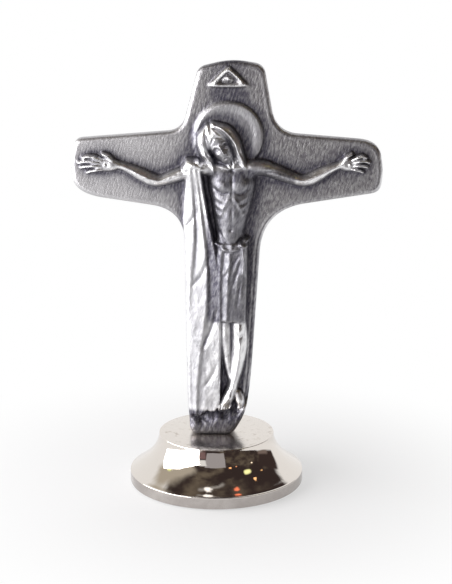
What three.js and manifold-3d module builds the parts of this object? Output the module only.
// Standing cross: a cast relief cross screwed upright on a turned metal foot.
// Millimetres, +Z up. The origin is on the table under the middle of the foot.
// The carved face looks along -Y.
import * as THREE from "three";
import { mergeVertices } from "three/addons/utils/BufferGeometryUtils.js";
import Module from "manifold-3d";

const wasm = await Module();
wasm.setup();

// Turned foot
const FOOT_RADIUS = 22.8;
const FOOT_HEIGHT = 13.5;
const FOOT_TOP_RADIUS = 15.1;
const RIM_HEIGHT = 3.5;
// How far the side leans from upright, in degrees, at shares of the way down it
const SKIRT_LEAN = [[0, 8], [0.32, 39], [0.6, 55], [0.9, 62], [1, 57]];
const FOOT_EDGE = 0.35;
const TOP_WALL = 3.0;
const SKIRT_WALL = 2.6;
const BOSS_RADIUS = 5.6;
const BOSS_DEPTH = 3.2;

// Felt pad under the foot
const PAD_THICKNESS = 1.4;
const PAD_PROUD = 0.4;
const PAD_MARGIN = 2.2;
const PAD_LEDGE = 2.0;
const PAD_CLEARANCE = 0.3;

// Screw, washers and dowel that hold the cross on the foot
const SCREW_RADIUS = 1.5;
const SCREW_LENGTH = 12.0;
const SCREW_HEAD_RADIUS = 2.8;
const SCREW_HEAD_HEIGHT = 1.9;
const SCREW_SLOT_WIDTH = 0.8;
const SCREW_SLOT_DEPTH = 1.0;
const WASHER_RADIUS = 3.4;
const WASHER_THICKNESS = 0.5;
const SPRING_WASHER_RADIUS = 2.7;
const SPRING_WASHER_THICKNESS = 0.7;
const SPRING_WASHER_GAP = 0.8;
const DOWEL_RADIUS = 0.75;
const DOWEL_LENGTH = 6.0;
const DOWEL_X = -3.9;
const HOLE_CLEARANCE = 0.15;
const HOLE_END_ROOM = 0.5;

// Cross plate. Heights on the cross are measured up from its seat on the foot
const CROSS_HEIGHT = 97.3;
const PLATE_THICKNESS = 3.6;
const PLATE_EDGE = 1.1;
const ARM_LEVEL = 70.7;
const ARM_TIP_HEIGHT = 13.8;
const LEFT_REACH = 36.9;
const RIGHT_REACH = 42.5;
const HEAD_LEFT = -4.4;
const HEAD_RIGHT = 12.1;
const SHAFT_LEFT = -7.6;
const SHAFT_RIGHT = 9.2;

// Carving
const SUNK = 1.2;
const CARVING_ROOM = 8;
const HALO_RADIUS = 9.1;
const HALO_RISE = 0.9;
const HALO_X = 2.9;
const HALO_LIFT = 8.0;
const EMBLEM_X = 3.1;
const EMBLEM_WIDTH = 11.9;
const EMBLEM_HEIGHT = 5.9;
const EMBLEM_BAR = 1.0;
const EMBLEM_RISE = 0.9;
const EMBLEM_BOSS_RADIUS = 0.85;
const EMBLEM_DROP = 6.4;
const BODY_X = 4.0;
const CLOTH_TOP_DROP = 19.0;
const CLOTH_HALF_WIDTH = 3.8;
const HEM_LEVEL = 30.6;
const TOE_LEVEL = 7.9;
const SHROUD_LIFT = 2.9;
const SHROUD_HEM = 4.4;
const MOUND_RISE = 1.8;
const SHOULDER_SPREAD = 4.6;
const FINGERTIP_SHARE = 1.11;
const LEFT_FINGERTIP_ROOM = 1.5;
const RIGHT_FINGERTIP_ROOM = 2.6;

// Places that follow from the sizes above
const PLATE_BACK = (PLATE_THICKNESS + MOUND_RISE) / 2;
const PLATE_FACE = PLATE_BACK - PLATE_THICKNESS;
const ARM_TOP = ARM_LEVEL + ARM_TIP_HEIGHT / 2;
const ARM_BOTTOM = ARM_LEVEL - ARM_TIP_HEIGHT / 2;
const HALO_LEVEL = ARM_LEVEL + HALO_LIFT;
const CLOTH_TOP = ARM_LEVEL - CLOTH_TOP_DROP;
const BOSS_UNDERSIDE = FOOT_HEIGHT - TOP_WALL - BOSS_DEPTH;
const PAD_RADIUS = FOOT_RADIUS - PAD_MARGIN;
const PAD_SEAT = PAD_THICKNESS;
const FOOT_UNDERSIDE = PAD_PROUD;
const WASHER_BOTTOM = BOSS_UNDERSIDE - WASHER_THICKNESS;
const SPRING_WASHER_BOTTOM = WASHER_BOTTOM - SPRING_WASHER_THICKNESS;
const SCREW_TIP = SPRING_WASHER_BOTTOM + SCREW_LENGTH;
const SCREW_HOLE_RADIUS = SCREW_RADIUS + HOLE_CLEARANCE;
const DOWEL_HOLE_RADIUS = DOWEL_RADIUS + HOLE_CLEARANCE;

const pewter = new THREE.MeshStandardMaterial({ color: 0x8c8d92, roughness: 0.42, metalness: 1 });
const nickel = new THREE.MeshStandardMaterial({ color: 0xcfc8bf, roughness: 0.08, metalness: 1 });
const zincSteel = new THREE.MeshStandardMaterial({ color: 0xa9adb2, roughness: 0.35, metalness: 1 });
const felt = new THREE.MeshStandardMaterial({ color: 0x25272c, roughness: 0.95, metalness: 0 });

// Solids from geometries, and back

// A closed geometry as a solid: shared corners are merged and collapsed faces are dropped.
function solidOf(geometry) {
  const bare = new THREE.BufferGeometry();
  bare.setAttribute("position", geometry.getAttribute("position").clone());
  bare.setIndex(geometry.index);
  const merged = mergeVertices(bare, 1e-4);
  const faces = [];
  for (let i = 0; i < merged.index.count; i += 3) {
    const [a, b, c] = [0, 1, 2].map((k) => merged.index.getX(i + k));
    if (a !== b && b !== c && c !== a) faces.push(a, b, c);
  }
  return new wasm.Manifold(
    new wasm.Mesh({
      numProp: 3,
      vertProperties: merged.getAttribute("position").array,
      triVerts: new Uint32Array(faces),
    }),
  );
}

function meshOf(name, solid, material) {
  const made = solid.getMesh();
  const geometry = new THREE.BufferGeometry();
  geometry.setAttribute("position", new THREE.BufferAttribute(made.vertProperties, 3));
  geometry.setIndex(new THREE.BufferAttribute(made.triVerts, 1));
  geometry.computeVertexNormals();
  const mesh = new THREE.Mesh(geometry, material);
  mesh.name = name;
  return mesh;
}

const joined = (solids) => solids.reduce((whole, piece) => whole.add(piece));

// A ring or plug turned about a vertical axis, from [radius, height] corners.
function turned(corners, segments) {
  const profile = corners.map(([r, z]) => new THREE.Vector2(r, z));
  profile.push(profile[0].clone());
  return solidOf(new THREE.LatheGeometry(profile, segments).rotateX(Math.PI / 2));
}

function plug(radius, bottom, top, segments = 24) {
  const shape = new THREE.CylinderGeometry(radius, radius, top - bottom, segments);
  shape.rotateX(Math.PI / 2).translate(0, 0, (top + bottom) / 2);
  return solidOf(shape);
}

function block(width, depth, height, x, y, z) {
  return solidOf(new THREE.BoxGeometry(width, depth, height).translate(x, y, z));
}

// Points of the foot's hollow side, down and out from its inner top to its outer bottom.
function flare(innerR, topZ, outerR, bottomZ, steps) {
  const leanAt = (share) => {
    const next = SKIRT_LEAN.findIndex(([place]) => place >= share);
    const [[from, leanFrom], [to, leanTo]] = [SKIRT_LEAN[next - 1], SKIRT_LEAN[next]];
    return THREE.MathUtils.degToRad(THREE.MathUtils.mapLinear(share, from, to, leanFrom, leanTo));
  };
  const path = [[0, 0]];
  for (let i = 0; i < steps; i++) {
    const lean = leanAt((i + 0.5) / steps);
    path.push([path[i][0] + Math.sin(lean), path[i][1] + Math.cos(lean)]);
  }
  const [fullOut, fullDown] = path[steps];
  return path.map(([out, down]) => [
    innerR + ((outerR - innerR) * out) / fullOut,
    topZ - ((topZ - bottomZ) * down) / fullDown,
  ]);
}

// Foot, pad and fasteners

function footBody() {
  const wallTop = FOOT_HEIGHT - TOP_WALL;
  const cavityRadius = PAD_RADIUS - PAD_LEDGE;
  const outer = flare(FOOT_TOP_RADIUS, FOOT_HEIGHT - FOOT_EDGE, FOOT_RADIUS - FOOT_EDGE, RIM_HEIGHT, 12);
  const inner = flare(FOOT_TOP_RADIUS - SKIRT_WALL, wallTop, cavityRadius, RIM_HEIGHT, 5).reverse();
  return turned(
    [
      [SCREW_HOLE_RADIUS, BOSS_UNDERSIDE],
      [SCREW_HOLE_RADIUS, FOOT_HEIGHT],
      [FOOT_TOP_RADIUS - FOOT_EDGE, FOOT_HEIGHT],
      ...outer,
      [FOOT_RADIUS, RIM_HEIGHT - FOOT_EDGE],
      [FOOT_RADIUS, FOOT_UNDERSIDE + FOOT_EDGE],
      [FOOT_RADIUS - FOOT_EDGE, FOOT_UNDERSIDE],
      [PAD_RADIUS + PAD_CLEARANCE, FOOT_UNDERSIDE],
      [PAD_RADIUS + PAD_CLEARANCE, PAD_SEAT],
      [cavityRadius, PAD_SEAT],
      ...inner,
      [BOSS_RADIUS, wallTop],
      [BOSS_RADIUS, BOSS_UNDERSIDE],
    ].reverse(),
    56,
  ).subtract(dowelHole());
}

function feltPad() {
  return turned([[0, 0], [PAD_RADIUS, 0], [PAD_RADIUS, PAD_THICKNESS], [0, PAD_THICKNESS]], 48);
}

function dowelHole() {
  const half = DOWEL_LENGTH / 2 + HOLE_END_ROOM;
  return plug(DOWEL_HOLE_RADIUS, FOOT_HEIGHT - half, FOOT_HEIGHT + half, 16).translate(DOWEL_X, 0, 0);
}

function dowel() {
  const half = DOWEL_LENGTH / 2;
  const lead = DOWEL_RADIUS * 0.3;
  const pin = turned(
    [
      [0, -half],
      [DOWEL_RADIUS - lead, -half],
      [DOWEL_RADIUS, -half + lead],
      [DOWEL_RADIUS, half - lead],
      [DOWEL_RADIUS - lead, half],
      [0, half],
    ],
    16,
  );
  return pin.translate(DOWEL_X, 0, FOOT_HEIGHT);
}

function screw() {
  const dome = SCREW_HEAD_HEIGHT * 0.35;
  const point = SCREW_RADIUS * 0.3;
  const head = SPRING_WASHER_BOTTOM - SCREW_HEAD_HEIGHT;
  const body = turned(
    [
      [0, head],
      [SCREW_HEAD_RADIUS - dome, head],
      [SCREW_HEAD_RADIUS, head + dome],
      [SCREW_HEAD_RADIUS, SPRING_WASHER_BOTTOM],
      [SCREW_RADIUS, SPRING_WASHER_BOTTOM],
      [SCREW_RADIUS, SCREW_TIP - point],
      [SCREW_RADIUS - point, SCREW_TIP],
      [0, SCREW_TIP],
    ],
    24,
  );
  const slot = block(SCREW_HEAD_RADIUS * 3, SCREW_SLOT_WIDTH, SCREW_SLOT_DEPTH * 2, 0, 0, head);
  return body.subtract(slot);
}

function washerRing(radius, bottom, thickness) {
  const top = bottom + thickness;
  return turned(
    [[SCREW_HOLE_RADIUS, bottom], [radius, bottom], [radius, top], [SCREW_HOLE_RADIUS, top]],
    32,
  );
}

function springWasher() {
  const ring = washerRing(SPRING_WASHER_RADIUS, SPRING_WASHER_BOTTOM, SPRING_WASHER_THICKNESS);
  const middle = SPRING_WASHER_BOTTOM + SPRING_WASHER_THICKNESS / 2;
  const gap = block(SPRING_WASHER_RADIUS * 2, SPRING_WASHER_GAP, SPRING_WASHER_THICKNESS * 2,
    SPRING_WASHER_RADIUS, 0, middle);
  return ring.subtract(gap);
}

// Cross plate

// Corners of the plate's outline as [x, height, how far from the corner its rounding starts].
// The last two lie below the seat, where the casting's round tip is ground away.
function plateCorners() {
  const armRootTop = ARM_TOP + 2.2;
  const armRootBottom = ARM_BOTTOM - 4.2;
  return [
    [SHAFT_LEFT, 11, 6],
    [SHAFT_LEFT - 0.5, armRootBottom, 8.5],
    [-LEFT_REACH + 0.9, ARM_BOTTOM + 0.1, 7.4],
    [-LEFT_REACH, ARM_LEVEL + 2, 2.5],
    [-LEFT_REACH + 1.4, ARM_TOP + 0.4, 1.5],
    [HEAD_LEFT - 4.2, armRootTop + 0.3, 3.6],
    [HEAD_LEFT, CROSS_HEIGHT - 1.4, 1.9],
    [(HEAD_LEFT + HEAD_RIGHT) / 2, CROSS_HEIGHT + 0.6, 6],
    [HEAD_RIGHT, CROSS_HEIGHT - 0.8, 2.4],
    [HEAD_RIGHT + 3.1, armRootTop - 0.3, 5.6],
    [RIGHT_REACH - 1.2, ARM_TOP - 0.3, 5.4],
    [RIGHT_REACH, ARM_LEVEL - 1.4, 2.5],
    [RIGHT_REACH - 0.7, ARM_BOTTOM + 0.4, 2.3],
    [SHAFT_RIGHT + 2.7, armRootBottom, 11],
    [SHAFT_RIGHT - 0.2, 14, 6],
    [SHAFT_RIGHT - 1.4, 6, 5],
    [2.4, -3.0, 2.4],
    [-6.4, -3.0, 2.6],
  ];
}

function roundedOutline(corners) {
  const at = (i) => new THREE.Vector2(...corners[(i + corners.length) % corners.length]);
  const toward = (from, to, distance) =>
    from.clone().lerp(to, Math.min(distance / from.distanceTo(to), 0.48));
  const shape = new THREE.Shape();
  corners.forEach(([x, z, setback], i) => {
    const corner = at(i);
    const start = toward(corner, at(i - 1), setback);
    const end = toward(corner, at(i + 1), setback);
    if (i === 0) shape.moveTo(start.x, start.y);
    else shape.lineTo(start.x, start.y);
    shape.quadraticCurveTo(x, z, end.x, end.y);
  });
  shape.closePath();
  return shape;
}

// Stands a shape drawn in x and height upright, with its front at the given y.
function upright(shape, front, depth, bevel, curveSegments = 5, bevelSegments = 3) {
  const extruded = new THREE.ExtrudeGeometry(shape, {
    depth: depth - 2 * bevel,
    bevelEnabled: bevel > 0,
    bevelThickness: bevel,
    bevelSize: bevel,
    bevelOffset: -bevel,
    bevelSegments,
    curveSegments,
  });
  extruded.rotateX(Math.PI / 2).translate(0, front + depth - bevel, 0);
  return solidOf(extruded);
}

const plate = () => upright(roundedOutline(plateCorners()), PLATE_FACE, PLATE_THICKNESS, PLATE_EDGE);

// The part of a carving that lies over the plate.
function trimmed(carving) {
  const depth = CARVING_ROOM + PLATE_THICKNESS;
  return carving.intersect(upright(roundedOutline(plateCorners()), PLATE_FACE - CARVING_ROOM, depth, 0));
}

// Carving on the plate's face

// A carved limb: half-round sections strung on a smooth line through [x, height, half width, rise] stations.
// Its flat back is sunk in the plate, and its ends are rounded.
function limb(stations, { steps = 2, arc = 6 } = {}) {
  const line = new THREE.CatmullRomCurve3(stations.map(([x, z]) => new THREE.Vector3(x, 0, z)));
  const girth = new THREE.CatmullRomCurve3(stations.map(([, , w, rise]) => new THREE.Vector3(w, rise, 0)));
  const count = (stations.length - 1) * steps;
  const cuts = Array.from({ length: count + 1 }, (_, i) => {
    const t = i / count;
    return { centre: line.getPoint(t), along: line.getTangent(t), girth: girth.getPoint(t), scale: 1 };
  });
  const rounding = (cut, reach) => ({
    ...cut,
    centre: cut.centre.clone().addScaledVector(cut.along, reach * cut.girth.x),
    scale: 0.6,
  });
  cuts.unshift(rounding(cuts[0], -0.75));
  cuts.push(rounding(cuts[cuts.length - 1], 0.75));
  const ringSize = arc + 3;
  const points = [];
  for (const { centre, along, girth: { x: halfWidth, y: rise }, scale } of cuts) {
    const side = new THREE.Vector3(along.z, 0, -along.x).multiplyScalar(halfWidth * scale);
    for (let k = 0; k <= arc; k++) {
      const angle = (Math.PI * k) / arc;
      const p = centre.clone().addScaledVector(side, Math.cos(angle));
      points.push(p.x, PLATE_FACE - rise * scale * Math.sin(angle), p.z);
    }
    for (const across of [-1, 1]) {
      const p = centre.clone().addScaledVector(side, across);
      points.push(p.x, PLATE_FACE + SUNK, p.z);
    }
  }
  const faces = [];
  for (let i = 0; i + 1 < cuts.length; i++) {
    for (let k = 0; k < ringSize; k++) {
      const a = i * ringSize + k;
      const b = i * ringSize + ((k + 1) % ringSize);
      faces.push(a, a + ringSize, b, b, a + ringSize, b + ringSize);
    }
  }
  const last = (cuts.length - 1) * ringSize;
  for (let k = 1; k + 1 < ringSize; k++) faces.push(0, k, k + 1, last, last + k + 1, last + k);
  const geometry = new THREE.BufferGeometry();
  geometry.setAttribute("position", new THREE.Float32BufferAttribute(points, 3));
  geometry.setIndex(faces);
  return solidOf(geometry);
}

// Folded cloth between level sections, from the top down. A section is its height on the plate, the places
// across of its folds' crests and creases, and how far each of them stands out. The bottom edge can slant.
function drapery(sections, slant = 0) {
  const rings = sections.map(([z, places, rises], level) => {
    const [left, right] = [places[0] - 0.3, places[places.length - 1] + 0.4];
    const tilt = level === sections.length - 1 ? slant : 0;
    const corner = (x, y) => new THREE.Vector3(x, y, z + tilt * (x - left));
    return [
      corner(left, PLATE_FACE + SUNK),
      ...places.map((x, k) => corner(x, PLATE_FACE - rises[k])),
      corner(right, PLATE_FACE + SUNK),
    ];
  });
  const size = rings[0].length;
  const faces = [];
  for (let i = 0; i + 1 < rings.length; i++) {
    for (let k = 0; k < size; k++) {
      const a = i * size + k;
      const b = i * size + ((k + 1) % size);
      faces.push(a + size, b + size, b, a + size, b, a);
    }
  }
  const flat = (ring) => ring.map((p) => new THREE.Vector2(p.x, p.y));
  const last = (rings.length - 1) * size;
  for (const [a, b, c] of THREE.ShapeUtils.triangulateShape(flat(rings[0]), [])) faces.push(a, b, c);
  for (const [a, b, c] of THREE.ShapeUtils.triangulateShape(flat(rings[rings.length - 1]), [])) {
    faces.push(last + a, last + c, last + b);
  }
  const geometry = new THREE.BufferGeometry().setFromPoints(rings.flat());
  geometry.setIndex(faces);
  return solidOf(geometry);
}

// Moves stations given about a place on the plate to that place, mirrored if asked.
const placed = (stations, x, z, mirror = 1) =>
  stations.map(([dx, dz, w, rise]) => [x + mirror * dx, z + dz, w, rise]);

function halo() {
  const disc = new THREE.CylinderGeometry(HALO_RADIUS, HALO_RADIUS - HALO_RISE * 0.4, HALO_RISE + SUNK, 48);
  disc.translate(HALO_X, PLATE_FACE + (SUNK - HALO_RISE) / 2, HALO_LEVEL);
  return solidOf(disc);
}

function emblem() {
  const base = CROSS_HEIGHT - EMBLEM_DROP;
  const triangle = (inset) => {
    const half = EMBLEM_WIDTH / 2 - inset * 2;
    return [
      new THREE.Vector2(EMBLEM_X - half, base + inset),
      new THREE.Vector2(EMBLEM_X + half, base + inset),
      new THREE.Vector2(EMBLEM_X, base + EMBLEM_HEIGHT - inset * 1.3),
    ];
  };
  const frame = new THREE.Shape(triangle(0));
  frame.holes.push(new THREE.Path(triangle(EMBLEM_BAR)));
  const boss = new THREE.SphereGeometry(EMBLEM_BOSS_RADIUS, 12, 8);
  boss.translate(EMBLEM_X, PLATE_FACE, base + EMBLEM_HEIGHT * 0.42);
  return [upright(frame, PLATE_FACE - EMBLEM_RISE, EMBLEM_RISE + SUNK, 0.25, 1, 1), solidOf(boss)];
}

// The figure. Its stations are given from the middle of the body at the level of the arms.
const onBody = (stations, mirror = 1) => placed(stations, BODY_X, ARM_LEVEL, mirror);

// The head leans to the left, with long hair on both sides and a short beard.
function head() {
  const skull = [[-5.6, 10.1, 2.2, 3.4], [-4.3, 8.0, 3.5, 4.5], [-3.1, 5.9, 3.5, 4.9],
    [-1.8, 3.8, 2.7, 4.6], [-0.6, 1.7, 1.7, 4.1], [0, 0.7, 0.9, 3.6]];
  const leftLock = [[-5.9, 10.4, 1.2, 3.3], [-7.4, 7.6, 1.4, 3.8], [-6.8, 4.4, 1.4, 3.7],
    [-5.0, 1.6, 1.2, 3.4], [-4.4, -0.9, 0.9, 3.2]];
  const rightLock = [[-4.6, 11.0, 1.2, 3.6], [-1.2, 9.6, 1.5, 4.2], [0.9, 6.6, 1.5, 4.0],
    [1.9, 3.4, 1.3, 3.7], [3.1, 0.4, 0.9, 3.3]];
  const brow = [[-5.0, 5.5, 0.5, 4.9], [-3.4, 6.4, 0.6, 5.3], [-1.8, 7.4, 0.5, 4.9]];
  const nose = [[-3.3, 6.3, 0.4, 5.3], [-2.3, 4.6, 0.7, 5.6]];
  return [skull, leftLock, rightLock, brow, nose].map((part) => limb(onBody(part)));
}

function torso() {
  const trunk = [[-0.3, 1.8, 2.4, 2.9], [0, -0.6, 5.5, 3.0], [0.1, -3.5, 5.9, 3.7],
    [0.1, -7.5, 5.2, 4.0], [-0.1, -12, 4.4, 3.7], [-0.3, -16.5, 3.7, 3.1], [-0.2, -20.5, 3.9, 3.2]];
  const shoulders = [[-9.0, 0.3, 1.8, 2.8], [-4.6, -0.2, 2.4, 3.1], [0, -1.2, 2.2, 3.3],
    [4.6, -0.2, 2.4, 3.1], [8.2, 0.1, 1.8, 2.8]];
  const breast = [[0.8, -3.4, 1.9, 4.0], [2.8, -3.6, 2.2, 4.5], [4.8, -2.6, 1.5, 3.8]];
  const ribs = [0, 1, 2].map((i) => [
    [1.4 + i * 0.4, -8.2 - i * 1.7, 0.5, 4.2 - i * 0.1],
    [4.4 - i * 0.3, -8.9 - i * 2.0, 0.5, 3.6 - i * 0.3],
  ]);
  const belly = [[-0.2, -12.5, 1.9, 3.9], [-0.3, -15.6, 2.2, 3.5]];
  return [
    limb(onBody(trunk), { steps: 3, arc: 8 }),
    limb(onBody(shoulders), { steps: 3, arc: 8 }),
    limb(onBody(belly)),
    ...[-1, 1].flatMap((side) => [breast, ...ribs].map((part) => limb(onBody(part, side), { arc: 5 }))),
  ];
}

// An arm and its open hand, out to the given place of its longest fingertip. Its stations run outward
// from the shoulder, as shares of the reach.
function arm(mirror, fingertip) {
  const reach = (mirror * (fingertip - BODY_X) - SHOULDER_SPREAD) / FINGERTIP_SHARE;
  const upperAndForearm = [[0, 0.3, 2.1, 2.9], [0.17, -0.3, 2.0, 2.9], [0.33, -1.9, 1.8, 2.7],
    [0.46, -3.2, 1.6, 2.5], [0.62, -1.7, 1.5, 2.4], [0.78, 0.3, 1.15, 2.0], [0.86, 0.8, 1.3, 1.8]];
  const palm = [[0.82, 0.6, 1.2, 1.8], [0.89, 0.9, 2.0, 1.9], [0.94, 1.1, 1.8, 1.7]];
  const fingers = [
    [[0.85, 1.8, 0.7, 1.9], [0.89, 3.1, 0.6, 2.0], [0.94, 3.8, 0.5, 1.6]],
    [[0.94, 2.2, 0.6, 1.8], [1.01, 2.9, 0.58, 1.9], [1.08, 2.9, 0.5, 1.4]],
    [[0.95, 1.4, 0.6, 1.8], [1.03, 1.8, 0.58, 1.9], [1.11, 1.6, 0.5, 1.4]],
    [[0.95, 0.5, 0.6, 1.8], [1.02, 0.6, 0.58, 1.8], [1.09, 0.3, 0.5, 1.3]],
    [[0.93, -0.3, 0.6, 1.7], [0.99, -0.6, 0.55, 1.7], [1.05, -0.9, 0.5, 1.3]],
  ];
  const outward = (stations) =>
    onBody(stations.map(([share, z, w, rise]) => [SHOULDER_SPREAD + share * reach, z, w, rise]), mirror);
  return [
    limb(outward(upperAndForearm)),
    limb(outward(palm)),
    ...fingers.map((finger) => limb(outward(finger), { steps: 1, arc: 4 })),
  ];
}

function loincloth() {
  const length = CLOTH_TOP - HEM_LEVEL;
  const w = CLOTH_HALF_WIDTH;
  const down = (x, share, halfWidth, rise) => [BODY_X + x, CLOTH_TOP - share * length, halfWidth, rise];
  const section = (share, places, rises) =>
    [CLOTH_TOP - share * length, places.map((x) => BODY_X + x), rises];
  const wrap = [
    section(-0.03, [-3.4, -2.2, -1.8, 0.2, 0.7, 3.5], [1.6, 2.3, 2.2, 2.6, 2.4, 2.0]),
    section(0.03, [-3.7, -2.2, -1.8, 0.1, 0.7, 3.7], [2.6, 3.3, 3.0, 3.8, 3.4, 3.3]),
    section(0.2, [-3.8, -2.7, -2.2, -0.5, 0.1, 3.8], [2.6, 3.2, 2.9, 3.8, 3.3, 3.3]),
    section(0.5, [-3.7, -3.1, -2.5, -1.0, -0.4, 3.7], [2.5, 3.0, 2.7, 3.6, 3.2, 3.1]),
    section(1, [-3.5, -3.1, -2.5, -1.4, -0.8, 3.5], [2.3, 2.7, 2.4, 3.3, 3.0, 2.8]),
  ];
  const waistRoll = [down(-w, 0.03, 0.9, 2.8), down(-1.2, 0.11, 1.0, 4.2), down(1.6, 0.06, 1.0, 4.2),
    down(w - 0.2, -0.03, 0.9, 2.8)];
  const knot = [down(w - 0.9, 0, 1.1, 3.9), down(w - 0.1, 0.1, 1.1, 3.5)];
  const tail = [down(2.7, 0.06, 0.7, 4.1), down(3.0, 0.2, 0.85, 4.0), down(2.8, 0.38, 0.95, 3.8)];
  return [
    drapery(wrap),
    limb(waistRoll, { steps: 3 }),
    limb(knot),
    limb(tail, { arc: 4 }),
  ];
}

function legs() {
  const length = HEM_LEVEL - TOE_LEVEL;
  const down = (x, share, w, rise) => [BODY_X + x, HEM_LEVEL - share * length, w, rise];
  const backLeg = [down(-1.7, -0.1, 1.8, 2.5), down(-1.5, 0.25, 1.7, 2.5), down(-0.6, 0.6, 1.3, 2.2),
    down(0.8, 0.84, 1.1, 2.2), down(2.0, 0.96, 1.5, 2.1)];
  const frontLeg = [down(1.8, -0.1, 2.1, 2.8), down(2.0, 0.2, 2.2, 3.0), down(1.3, 0.55, 1.8, 2.8),
    down(0.3, 0.76, 1.4, 2.9), down(-0.8, 0.88, 1.6, 3.3), down(-1.7, 0.98, 1.7, 2.6)];
  const toes = [0, 1, 2, 3, 4].map((i) =>
    [down(-2.9 + i * 0.66, 0.97, 0.42, 2.7), down(-3.3 + i * 0.66, 1.07 - i * 0.012, 0.38, 2.2)]);
  return [limb(backLeg), limb(frontLeg), ...toes.map((toe) => limb(toe, { steps: 1, arc: 4 }))];
}

// A long cloth looped over the arm beside the body. It hangs in broad folds that lean to the left edge.
function shroud() {
  const top = ARM_LEVEL + SHROUD_LIFT;
  const section = (share, places, rises) => [top - share * (top - SHROUD_HEM), places, rises];
  const folds = [
    section(0, [-7.2, -6.4, -6.1, -5.3, -5.0, -4.6], [0.8, 1.1, 0.9, 1.2, 0.9, 1.0]),
    section(0.014, [-7.5, -6.5, -6.1, -5.2, -4.9, -4.2], [2.3, 3.1, 2.7, 3.4, 3.0, 3.2]),
    section(0.04, [-7.6, -6.5, -6.1, -5.2, -4.8, -3.9], [2.7, 3.8, 3.3, 4.1, 3.6, 3.9]),
    section(0.09, [-7.6, -6.3, -5.8, -4.9, -4.4, -3.5], [1.9, 3.1, 2.5, 3.5, 3.0, 3.5]),
    section(0.15, [-7.6, -6.0, -5.4, -4.3, -3.8, -2.8], [1.0, 2.2, 1.6, 2.9, 2.4, 3.1]),
    section(0.25, [-7.6, -5.6, -5.0, -3.5, -2.9, -1.5], [0.7, 1.8, 1.4, 2.6, 2.1, 2.9]),
    section(0.37, [-7.5, -5.9, -5.3, -2.6, -1.9, 0.1], [0.6, 1.4, 1.2, 2.4, 1.9, 2.8]),
    section(0.5, [-7.5, -6.8, -6.2, -2.3, -1.5, 1.0], [0.6, 1.1, 1.1, 2.3, 1.9, 2.7]),
    section(0.63, [-7.4, -7.0, -6.6, -3.1, -2.3, 1.2], [0.6, 0.9, 0.9, 2.1, 1.8, 2.6]),
    section(0.76, [-7.4, -7.0, -6.5, -4.3, -3.6, 1.1], [0.6, 0.9, 0.8, 1.8, 1.5, 2.5]),
    section(1, [-7.2, -6.8, -6.2, -5.3, -4.7, 0.8], [0.6, 0.9, 0.8, 1.4, 1.2, 2.3]),
  ];
  return trimmed(drapery(folds, 0.3));
}

function mound() {
  const rocks = [
    [[-4.6, 0.6, 2.2, 1.1], [-1.5, 1.2, 3.4, 1.25], [2.6, 1.0, 3.0, 1.2]],
    [[-4.4, 2.9, 1.6, 0.8], [-0.5, 4.0, 2.2, 1.0], [4.6, 4.0, 2.2, 0.9]],
  ];
  const stone = (stations) => limb(stations.map(([x, z, w, rise]) => [x, z, w, rise * MOUND_RISE]));
  return trimmed(joined(rocks.map(stone)));
}

function crossCasting() {
  const carving = [
    halo(),
    ...emblem(),
    ...torso(),
    ...arm(-1, LEFT_FINGERTIP_ROOM - LEFT_REACH),
    ...arm(1, RIGHT_REACH - RIGHT_FINGERTIP_ROOM),
    ...head(),
    shroud(),
    ...loincloth(),
    ...legs(),
    mound(),
  ];
  const whole = joined([plate(), ...carving]).translate(0, 0, FOOT_HEIGHT);
  const belowSeat = block(2 * RIGHT_REACH, 2 * RIGHT_REACH, FOOT_HEIGHT, 0, 0, FOOT_HEIGHT / 2);
  const screwHole = plug(SCREW_HOLE_RADIUS, FOOT_HEIGHT - 1, SCREW_TIP + HOLE_END_ROOM);
  return whole.subtract(belowSeat).subtract(screwHole).subtract(dowelHole());
}

const standingCross = new THREE.Group();
standingCross.add(
  meshOf("cross_casting", crossCasting(), pewter),
  meshOf("foot_body", footBody(), nickel),
  meshOf("foot_screw", screw(), zincSteel),
  meshOf("spring_washer", springWasher(), zincSteel),
  meshOf("flat_washer", washerRing(WASHER_RADIUS, WASHER_BOTTOM, WASHER_THICKNESS), zincSteel),
  meshOf("locating_dowel", dowel(), zincSteel),
  meshOf("felt_pad", feltPad(), felt),
);

export default standingCross;
